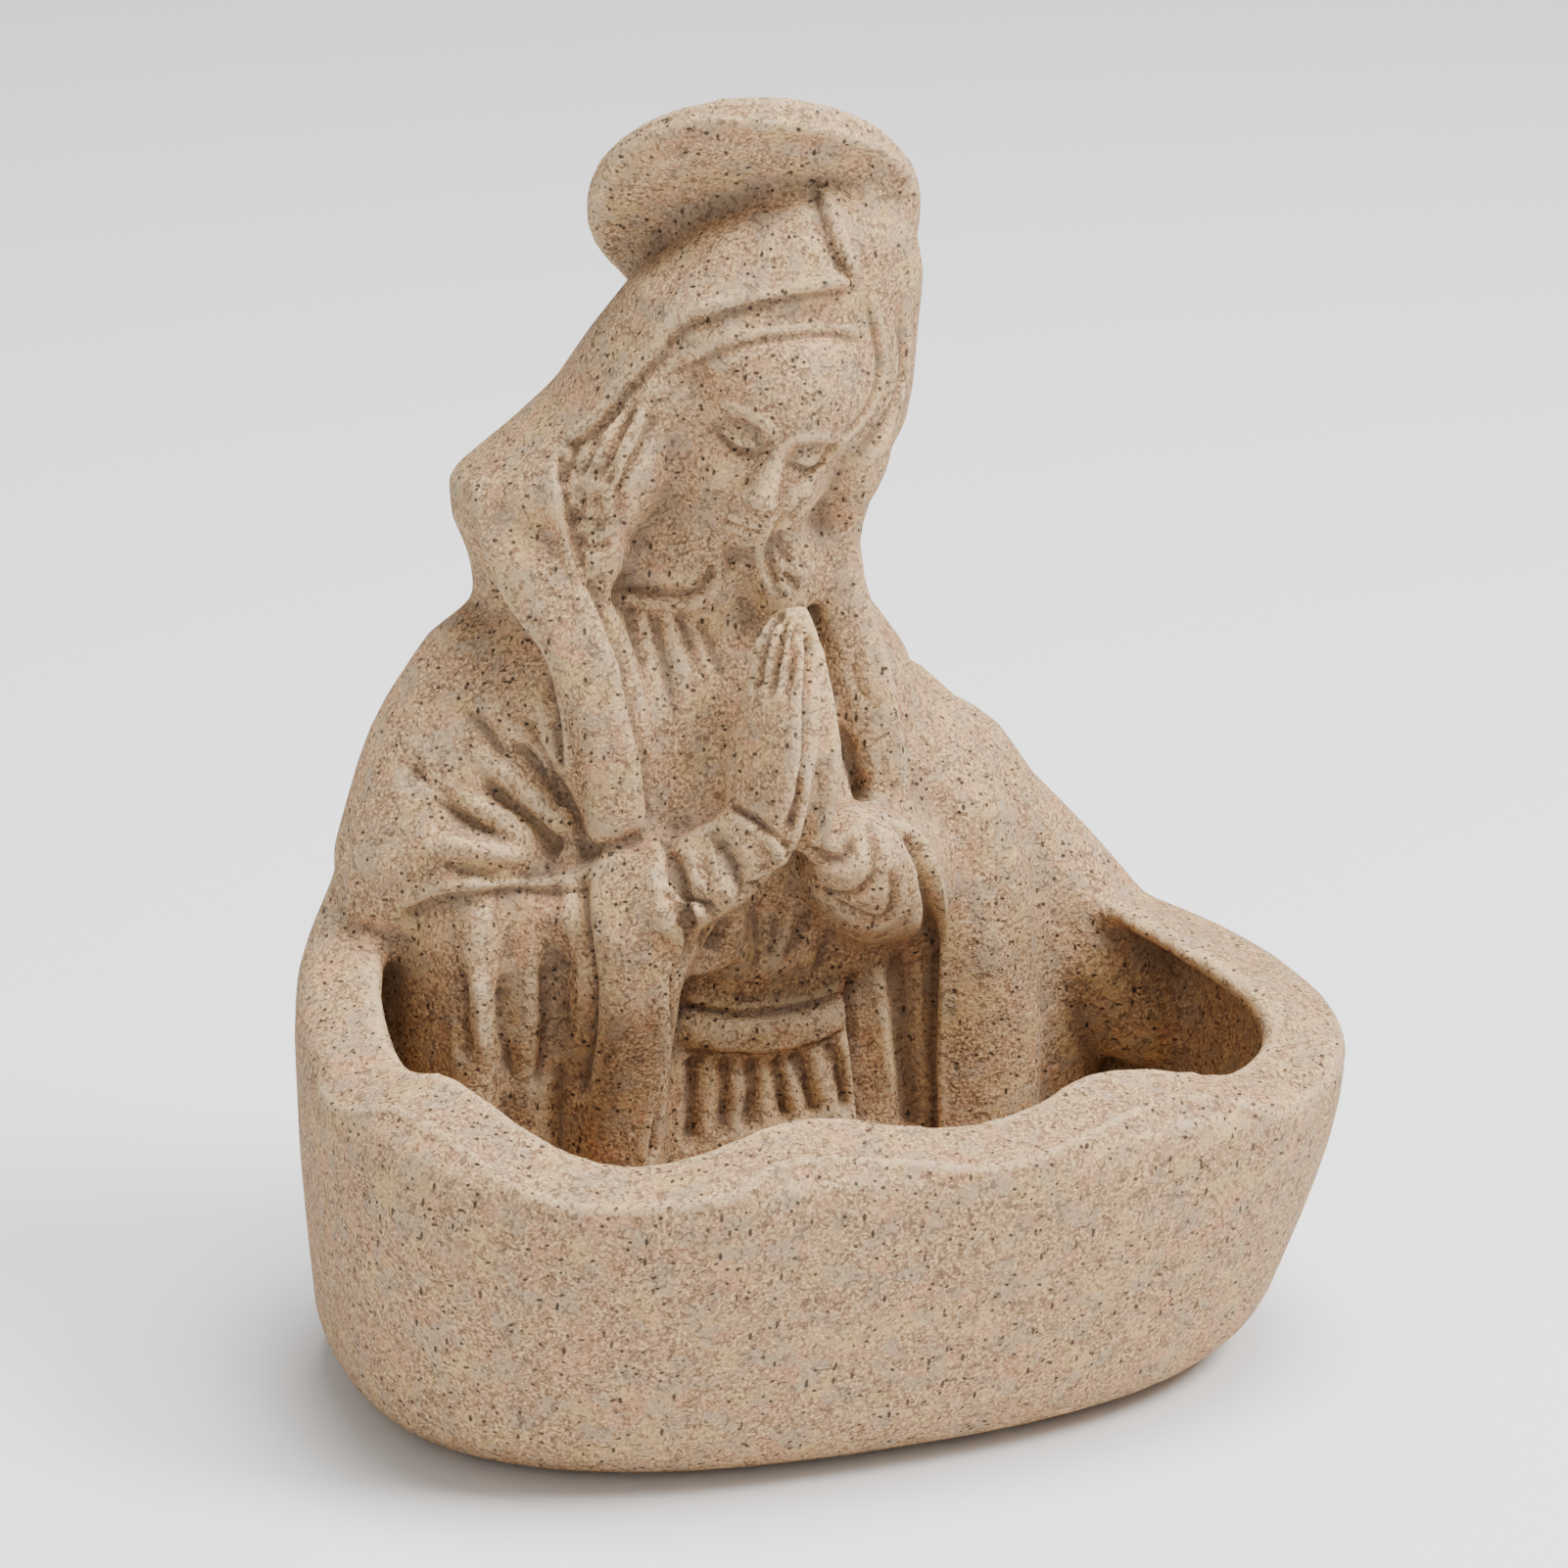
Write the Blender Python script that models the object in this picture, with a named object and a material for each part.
"""A praying figure in a mantle with a halo, cast in one piece with a shallow bowl with a wavy rim."""

from math import cos, pi, radians, sin

import bmesh
import bpy
import numpy as np
from mathutils import Euler, Matrix, Vector

# Driving dimensions, in metres. X is the figure's left, -Y her front, and the underside lies on z = 0.
statue_height = 0.1313
bowl_width = 0.1065
bowl_depth = 0.076
rim_height = 0.0345
petal_rise = 0.0045
foot_width = 0.096
foot_depth = 0.072
foot_rounding = 0.0072
inner_rounding = 0.0043
wall_thickness = 0.0078
floor_thickness = 0.010
rim_rounding = 0.0017
rim_slope = 0.0018
halo_diameter = 0.0331
halo_thickness = 0.0046
halo_rounding = 0.0014
halo_lean = 42
halo_turn = 18

# Where the bowl's foot and rim lie under the figure.
foot_centre_x = 0.0025
rim_centre_x = 0.0043
back_plane = 0.032

# The mesh: its grain, how many triangles it keeps, and what is cut off below to leave the foot flat.
grain = 0.001
most_triangles = 9600
spare_depth = 0.002

# The figure's pose and carving are laid out on a grid with this many units from the floor to the halo's top.
grid_height = 131.3
unit = statue_height / grid_height

# How square the bowl is seen from above, where 2 is an ellipse, and how far its widest line lies to the back.
squareness = 2.45
widest_line = 0.45

# The pose: the height of the shoulders, the head's middle and its turns about X, Y and Z in degrees, and how
# far the joined hands turn to her left.
shoulder = 80 * unit
head_centre = (1.2, 1, 99)
head_turns = (14, 20, -8)
hand_turn = 28

resin_colour = (0.47, 0.36, 0.25, 1.0)
resin_roughness = 0.85


def clear_scene():
    for item in list(bpy.data.objects):
        bpy.data.objects.remove(item, do_unlink=True)


def through(knots, values, at):
    """A smooth curve through the values at the knots, read at the given places."""
    knots = np.asarray(knots, float)
    values = np.asarray(values, float)
    steps = np.diff(values) / np.diff(knots)
    both = steps[:-1] * steps[1:]
    middle = np.where(both > 0, 2 * both / np.where(both > 0, steps[:-1] + steps[1:], 1), 0)
    slopes = np.concatenate([steps[:1], middle, steps[-1:]])
    place = np.clip(np.searchsorted(knots, at) - 1, 0, len(knots) - 2)
    width = knots[place + 1] - knots[place]
    share = np.clip((at - knots[place]) / width, 0, 1)
    start = (1 + 2 * share) * (1 - share) ** 2 * values[place]
    leave = share * (1 - share) ** 2 * width * slopes[place]
    end = share**2 * (3 - 2 * share) * values[place + 1]
    arrive = share**2 * (share - 1) * width * slopes[place + 1]
    return start + leave + end + arrive


def object_from(bm, name):
    mesh = bpy.data.meshes.new(name)
    bmesh.ops.recalc_face_normals(bm, faces=bm.faces)
    bm.to_mesh(mesh)
    bm.free()
    made = bpy.data.objects.new(name, mesh)
    bpy.context.scene.collection.objects.link(made)
    return made


def rings_solid(rings, name):
    """One closed solid skinned over rings of points, with a fan over the first and the last ring."""
    bm = bmesh.new()
    loops = [[bm.verts.new(point) for point in ring] for ring in rings]
    count = len(loops[0])
    for low, high in zip(loops, loops[1:]):
        for i in range(count):
            k = (i + 1) % count
            bm.faces.new((low[i], low[k], high[k], high[i]))
    for ring, loop in ((rings[0], loops[0]), (rings[-1], loops[-1])):
        middle = bm.verts.new(np.mean(ring, axis=0))
        for i in range(count):
            bm.faces.new((loop[i], loop[(i + 1) % count], middle))
    return object_from(bm, name)


# The bowl and the back of the mantle, which rises out of the bowl's wall.


def signed_power(value, power):
    return np.sign(value) * np.abs(value) ** power


def outline(turn, height, inset):
    """Points of the outside at each turn about the middle and each height, moved in by the inset."""
    rise = np.array([0.16, 0.32, 0.56, 0.76, 0.90, 1.0]) * (shoulder - rim_height)
    level = np.array([0, rim_height, *(rim_height + rise)])
    rim_left = rim_centre_x - bowl_width / 2
    rim_right = rim_centre_x + bowl_width / 2
    shell_left = np.array([-47.5, -43.5, -38.0, -34.0, -31.0, -27.0]) * unit
    shell_right = np.array([45.0, 37.0, 29.5, 23.5, 18.0, 12.0]) * unit
    shell_back = back_plane - np.array([0.0, 0.5, 2.0, 3.5, 5.0, 7.0]) * unit
    shell_front = np.array([-34.0, -26.0, -20.0, -16.0, -14.0, -12.0]) * unit
    left = through(level, [foot_centre_x - foot_width / 2, rim_left, *shell_left], height)
    right = through(level, [foot_centre_x + foot_width / 2, rim_right, *shell_right], height)
    back = through(level, [foot_depth / 2, back_plane, *shell_back], height)
    front = through(level, [-foot_depth / 2, back_plane - bowl_depth, *shell_front], height)
    middle_x = (left + right) / 2
    middle_y = front + (back - front) * widest_line
    half_x = (right - left) / 2 - inset
    half_y = np.where(np.sin(turn) < 0, middle_y - front, back - middle_y) - inset
    x = middle_x + half_x * signed_power(np.cos(turn), 2 / squareness)
    y = middle_y + half_y * signed_power(np.sin(turn), 2 / squareness)
    return np.stack([x, y, height + 0 * x], axis=-1)


def rim_crest(turn):
    """The height of the wall's outer edge: petals in front, and the rise to the shoulders behind."""
    petals = {-180: 1.30, -171: 0.92, -157: 1.12, -124: -0.12, -99: 0.60, -87: 0.12, -67: 0.60}
    petals.update({-42: -0.20, 2: 1.15})
    climb = {15: 0.14, 28: 0.20, 40: 0.34, 52: 0.58, 66: 0.82, 80: 0.96, 92: 1.0, 106: 0.96}
    climb.update({122: 0.84, 138: 0.70, 152: 0.52, 166: 0.29})
    rise = shoulder - rim_height
    knots = {degrees: rim_height + petal_rise * share for degrees, share in petals.items()}
    knots.update({degrees: rim_height + rise * share for degrees, share in climb.items()})
    knots[180] = knots[-180]
    turns = sorted(knots)
    heights = [knots[degrees] for degrees in turns]
    around = [degrees - 360 for degrees in turns[-4:-1]] + turns + [degrees + 360 for degrees in turns[1:4]]
    heights = heights[-4:-1] + heights + heights[1:4]
    return through(np.radians(around), heights, turn)


def bowl():
    sides = 96
    turn = np.linspace(-pi, pi, sides, endpoint=False)
    crest = rim_crest(turn)
    rings = [outline(turn, 0 * turn, foot_rounding) - np.array([0, 0, spare_depth])]
    for angle in np.linspace(0, 90, 5):
        inset = foot_rounding * (1 - sin(radians(angle)))
        height = foot_rounding * (1 - cos(radians(angle)))
        rings.append(outline(turn, height + 0 * turn, inset))
    for share in np.linspace(0.06, 1, 14):
        rings.append(outline(turn, foot_rounding + (crest - rim_rounding - foot_rounding) * share, 0))
    for angle in (25, 50, 75):
        inset = rim_rounding * (1 - cos(radians(angle)))
        drop = rim_rounding * (1 - sin(radians(angle)))
        ring = outline(turn, crest, inset)
        rings.append(ring - np.array([0, 0, drop]))
    for angle in (105, 130, 155, 180):
        inset = wall_thickness - rim_rounding * (1 + cos(radians(angle)))
        drop = rim_rounding * (1 - sin(radians(angle))) - rim_slope
        ring = outline(turn, crest, inset)
        rings.append(ring - np.array([0, 0, drop]))
    base = floor_thickness + inner_rounding
    for share in np.linspace(0.94, 0, 14):
        rings.append(outline(turn, base + (crest - rim_rounding - base) * share, wall_thickness))
    for angle in (30, 60, 90):
        inset = wall_thickness + inner_rounding * (1 - cos(radians(angle)))
        height = floor_thickness + inner_rounding * (1 - sin(radians(angle)))
        rings.append(outline(turn, height + 0 * turn, inset))
    return rings_solid(rings, "bowl form")


# The figure's own forms. Each place is in units from the middle of the foot.


def place(point):
    return Vector(point) * unit


def egg(centre, radii, turns=(0, 0, 0)):
    """An ellipsoid, turned by angles in degrees."""
    bm = bmesh.new()
    bmesh.ops.create_uvsphere(bm, u_segments=32, v_segments=16, radius=1)
    size = Matrix.Diagonal((*(r * unit for r in radii), 1))
    turned = Euler([radians(t) for t in turns]).to_matrix().to_4x4()
    bm.transform(Matrix.Translation(place(centre)) @ turned @ size)
    return object_from(bm, "form")


def section(centre, half_x, half_y, power=2.2):
    """A level ring round a centre given in units."""
    turn = np.linspace(0, 2 * pi, 48, endpoint=False)
    x = centre[0] + half_x * signed_power(np.cos(turn), 2 / power)
    y = centre[1] + half_y * signed_power(np.sin(turn), 2 / power)
    return np.stack([x, y, centre[2] + 0 * x], axis=-1) * unit


def limb(points, radii, flat=1.0, lean=(0, 0, 1)):
    """A tapered round bar through the points; flat thins it along the lean direction."""
    points = np.array(points, float)
    at = np.linspace(0, len(points) - 1, 8 * (len(points) - 1) + 1)
    knots = np.arange(len(points))
    path = np.stack([through(knots, points[:, k], at) for k in range(3)], axis=-1)
    radius = through(knots, radii, at)
    along = np.gradient(path, axis=0)
    rings = []
    up = Vector(lean)
    for middle, way, size in zip(path, along, radius):
        way = Vector(way).normalized()
        side = way.cross(up).normalized()
        top = side.cross(way)
        ring = []
        for turn in np.linspace(0, 2 * pi, 24, endpoint=False):
            ring.append((Vector(middle) + (side * cos(turn) + top * sin(turn) * flat) * size) * unit)
        rings.append(np.array(ring))
    cap_rings = []
    for ring, shift in ((rings[0], -1), (rings[-1], 1)):
        middle = ring.mean(axis=0)
        way = along[0 if shift < 0 else -1]
        way = way / np.linalg.norm(way)
        size = radius[0 if shift < 0 else -1] * unit
        for angle in (45, 77):
            reach = 0.8 * shift * size * sin(radians(angle))
            cap_rings.append(middle + (ring - middle) * cos(radians(angle)) + way * reach)
    rings = [cap_rings[1], cap_rings[0], *rings, cap_rings[2], cap_rings[3]]
    return rings_solid(rings, "form")


def body():
    """The torso and skirt under the mantle, leaning to her right as it rises."""
    return rings_solid(
        [
            section((1, 12, 5), 27, 15),
            section((1, 12, 20), 25, 14.5),
            section((0.5, 12.5, 35), 22, 15),
            section((-1, 12, 48), 24, 16),
            section((-3.5, 11, 60), 26, 16.5),
            section((-5, 12, 70), 25, 15.5),
            section((-5, 12, 77), 20, 13),
            section((-5, 10, 83), 11, 9),
        ],
        "form",
    )


def belt():
    """The band round the waist, and the skirt's pleats that hang from it."""
    edges = [section((0, 12.2, 33.4), 19, 16.4), section((0, 12.2, 37.0), 18.5, 16.4)]
    band = rings_solid(edges, "form")
    bodice = egg((-1, 3, 43.5), (12, 7.5, 6.5))
    pleats = []
    for x in np.arange(-9.5, 11, 3.0):
        pleat = limb([(x * 0.95, -2.0, 33), (x, -2.4, 22), (x * 1.1, -2.8, 6)], [1.3, 1.7, 2.0])
        pleats.append(pleat)
    return [band, bodice, *pleats]


def arms():
    """Both arms in their sleeves, bent up to the hands."""
    right = limb([(-19, 12, 71), (-23.5, 9, 62), (-26, 5, 56)], [8.5, 8.7, 6.5])
    right_forearm = limb(
        [(-20, 2, 50), (-16, -4, 50), (-10, -8.6, 53.8), (-5.4, -11.2, 57.8)],
        [5.0, 5.6, 4.9, 4.1],
    )
    right_sleeve = egg((-8, -6.5, 49), (4.6, 4.8, 7.0), (0, -20, 0))
    left = limb([(9, 14, 67), (14, 9, 58), (15, 3, 50)], [8, 8, 7])
    left_forearm = limb([(15, 2, 48.5), (10.5, -4.5, 51), (7, -9, 55)], [7.2, 7.0, 5.6])
    return [right, right_forearm, right_sleeve, left, left_forearm]


def hands():
    """Two hands laid palm to palm, fingers up, turned to her left."""
    across = (cos(radians(hand_turn)), sin(radians(hand_turn)), 0)
    made = []
    for side, wider in ((-1, 0.7), (1, 0)):
        wrist = (-1.0 - wider + side * 2.0, -11.5 + side * 0.9, 59.5)
        palm = (-0.6 - wider + side * 1.9, -11.5 + side * 0.8, 65.5)
        knuckles = (-0.2 - wider + side * 1.6, -11.3 + side * 0.7, 71)
        tips = (0.5 - wider + side * 1.0, -9.8 + side * 0.5, 80.8)
        radii = [4.0 + wider, 4.9 + wider, 4.3 + wider, 2.0 + wider / 2]
        made.append(limb([wrist, palm, knuckles, tips], radii, 0.42, across))
    return made


def on_head(point):
    """A place given from the head's middle, along the bowed and tilted head's own directions."""
    turned = Euler([radians(t) for t in head_turns]).to_matrix()
    return Vector(head_centre) + turned @ Vector(point)


def head():
    skull = egg(on_head((0, 1, 3)), (9.6, 11.5, 11.5), head_turns)
    jaw = egg(on_head((0, -3.2, -4.8)), (7.7, 7.6, 8.6), head_turns)
    cheek = egg(on_head((-2.6, 0, -3)), (8.6, 8.6, 9.4), head_turns)
    neck = limb([(-6, 8, 76), (-5.5, 5, 84), (-2, 4, 94)], [9, 7.4, 6.6])
    return [skull, jaw, cheek, neck]


def hair():
    """Hair inside the hood: a mass and curls beside each cheek and the soft band over the brow."""
    brow = egg(on_head((-0.3, 1.8, 3.2)), (11.4, 10.8, 12.6), head_turns)
    temple = egg(on_head((-5.5, -0.3, 7)), (7, 7.4, 7), head_turns)
    temple_lock = egg((-8.5, 0, 103), (4.5, 4.5, 6), (0, 20, 0))
    right_mass = egg((-13.6, 2, 95.5), (5.2, 6, 9.8), (0, 22, 0))
    right_curls = egg((-16.4, 1.4, 87.5), (3.4, 4.2, 5.6))
    left_mass = egg((10.5, 1, 96), (4, 6, 9), (0, 8, 0))
    left_curls = egg((2.5, -1, 83), (3.5, 3, 6))
    return [brow, temple, temple_lock, right_mass, right_curls, left_mass, left_curls]


def veil():
    """The hood and the veil that widens to a point beside her right cheek, hollowed for the face."""
    cloth = rings_solid(
        [
            section((-4, 16, 58), 18, 10),
            section((-5, 15, 68), 19, 10),
            section((-5, 13.5, 77), 19.5, 11.5),
            section((-5.5, 12.5, 83), 20.0, 12.5),
            section((-6, 11.5, 87.5), 21.5, 13.5),
            section((-5.5, 10.5, 91.5), 22.5, 14.5),
            section((-2.4, 8.8, 95.5), 20.6, 15.2),
            section((0.2, 7.4, 100), 18.2, 15),
            section((1.6, 5.2, 106), 16.6, 13.0),
            section((3.3, 2.8, 112), 14.8, 10.6),
            section((5.8, 0.8, 117.5), 10.6, 7.6),
            section((7.5, 0.0, 120.5), 6, 4.5),
        ],
        "form",
    )
    opening = egg((-1.5, -7, 97), (12.5, 14, 16), (10, 22, -10))
    cheek = egg((-12, -4, 91), (9.5, 9, 9.5), (0, 25, 0))
    throat = egg((-6, -2, 85), (12.5, 8.5, 8.5))
    for hollow in (opening, cheek, throat):
        hollow.hide_render = True
        hollow.display_type = "WIRE"
        cut = cloth.modifiers.new("hollow", "BOOLEAN")
        cut.operation = "DIFFERENCE"
        cut.object = hollow
        bpy.context.view_layer.objects.active = cloth
        bpy.ops.object.modifier_apply(modifier=cut.name)
        bpy.data.objects.remove(hollow, do_unlink=True)
    return [cloth]


def halo():
    """A thick disc with a rounded edge behind the head, leaning forward with it."""
    bm = bmesh.new()
    radius = halo_diameter / 2
    sizes = {"radius1": radius, "radius2": radius, "depth": halo_thickness}
    bmesh.ops.create_cone(bm, cap_ends=True, segments=64, **sizes)
    rim = [edge for edge in bm.edges if any(len(face.verts) > 4 for face in edge.link_faces)]
    bmesh.ops.bevel(bm, geom=rim, offset=halo_rounding, segments=4, profile=0.5, affect="EDGES")
    turned = Euler((radians(90 + halo_lean), 0, radians(-halo_turn))).to_matrix().to_4x4()
    bm.transform(Matrix.Translation(place((2.2, 6.5, 118.2))) @ turned)
    return object_from(bm, "form")


def mantle():
    """The mantle's fall from her right arm, its two front panels and the veil's ends on her chest."""
    sleeve = limb([(-22.5, 14, 71), (-28, 12, 62), (-33.8, 9.5, 51)], [8.0, 9.2, 8.2])
    lower = rings_solid([section((-27, 8, 6), 9, 10), section((-28, 7, 58), 8, 9)], "form")
    hanging = []
    for x in (-30.5, -24.5):
        hanging.append(limb([(x + 1, -1, 52), (x, -2, 38), (x - 0.5, -2, 8)], [2.0, 2.4, 2.6]))
    left_fall = limb(
        [(12, 17, 66), (19, 15, 56), (25, 15, 46), (31, 15, 36), (34, 14, 24)],
        [8, 8.5, 8.5, 8, 7],
    )
    left_drape = limb(
        [(17.5, 9, 62), (22, 4.5, 52), (24, 3.2, 40), (24.8, 3.2, 24), (24.5, 4, 8)],
        [6, 7.5, 7.5, 7.5, 7.5],
        0.9,
        (0, 1, 0),
    )
    left_web = limb(
        [(20, 20, 60), (27, 17, 51), (34, 13.5, 42.5), (40, 10, 35.5), (46, 6, 27)],
        [7, 8, 8.5, 8, 6],
    )
    left_slope = limb([(25, 14, 56), (29.5, 13, 45), (32.5, 12.5, 30), (33.5, 12.5, 6)], [7.5, 9, 9.5, 9.5])
    left_lower = rings_solid([section((25, 13, 6), 9, 10), section((22, 10, 44), 8, 9)], "form")
    right_end = limb(
        [(-23.5, 6, 91), (-22, 2.5, 85), (-18.5, -1, 78), (-16, -3.5, 68), (-15, -4.5, 55)],
        [4.5, 4.8, 4.5, 4.0, 3.8],
        0.5,
        (0, 1, 0),
    )
    left_end = limb(
        [(10.5, 2, 91), (8.5, 0, 84), (9.5, -1.5, 77), (11, -2.5, 70), (13, -2, 57)],
        [3.2, 3.0, 3.0, 3.2, 3.4],
        0.5,
        (0, 1, 0),
    )
    panel = rings_solid(
        [
            section((-16.3, 2.5, 6), 4.6, 7.6, 3),
            section((-16.0, 0.2, 30), 5.0, 8.6, 3),
            section((-15.8, -2.4, 42), 5.4, 8.8, 3),
            section((-15.4, -3.0, 50), 5.2, 8.2, 3),
            section((-15.4, -3.0, 53.5), 4.2, 6.0, 3),
        ],
        "form",
    )
    left_panel = rings_solid(
        [
            section((16, 8, 6), 6, 8, 3),
            section((15.5, 7.5, 30), 5.5, 8, 3),
            section((15.5, 7, 50), 5, 7, 3),
        ],
        "form",
    )
    falls = [sleeve, lower, *hanging, left_fall, left_drape, left_web, left_slope, left_lower]
    return [*falls, right_end, left_end, panel, left_panel]


def apply(statue, kind, **settings):
    modifier = statue.modifiers.new(kind.lower(), kind)
    for name, value in settings.items():
        setattr(modifier, name, value)
    bpy.context.view_layer.objects.active = statue
    bpy.ops.object.modifier_apply(modifier=modifier.name)


def one_piece(forms):
    """Melts the overlapping forms into one skin, and thins it where it is smooth."""
    bpy.ops.object.select_all(action="DESELECT")
    for form in forms:
        form.select_set(True)
    statue = forms[0]
    bpy.context.view_layer.objects.active = statue
    bpy.ops.object.join()
    apply(statue, "REMESH", mode="VOXEL", voxel_size=grain)
    apply(statue, "SMOOTH", factor=0.5, iterations=3)
    statue.data.calc_loop_triangles()
    apply(statue, "DECIMATE", ratio=most_triangles / len(statue.data.loop_triangles))
    return statue


def level_foot(statue):
    """Cuts the spare depth off below the floor plane, which leaves a flat underside."""
    bm = bmesh.new()
    bm.from_mesh(statue.data)
    every = [*bm.verts, *bm.edges, *bm.faces]
    floor_plane = {"plane_co": (0, 0, 0), "plane_no": (0, 0, -1)}
    cut = bmesh.ops.bisect_plane(bm, geom=every, clear_outer=True, **floor_plane)
    rim = [item for item in cut["geom_cut"] if isinstance(item, bmesh.types.BMEdge)]
    bmesh.ops.contextual_create(bm, geom=rim)
    bmesh.ops.dissolve_degenerate(bm, dist=0.02 * grain, edges=bm.edges)
    bm.to_mesh(statue.data)
    bm.free()


def finish(statue):
    resin = bpy.data.materials.new("sandstone resin")
    resin.use_nodes = True
    shader = resin.node_tree.nodes["Principled BSDF"]
    shader.inputs["Base Color"].default_value = resin_colour
    shader.inputs["Roughness"].default_value = resin_roughness
    statue.data.materials.append(resin)
    statue.data.shade_smooth()


clear_scene()
figure = [body(), *belt(), *arms(), *hands(), *head(), *hair(), *veil(), halo(), *mantle()]
statue = one_piece([bowl(), *figure])
statue.name = "virgin_mary_statue"
level_foot(statue)
finish(statue)
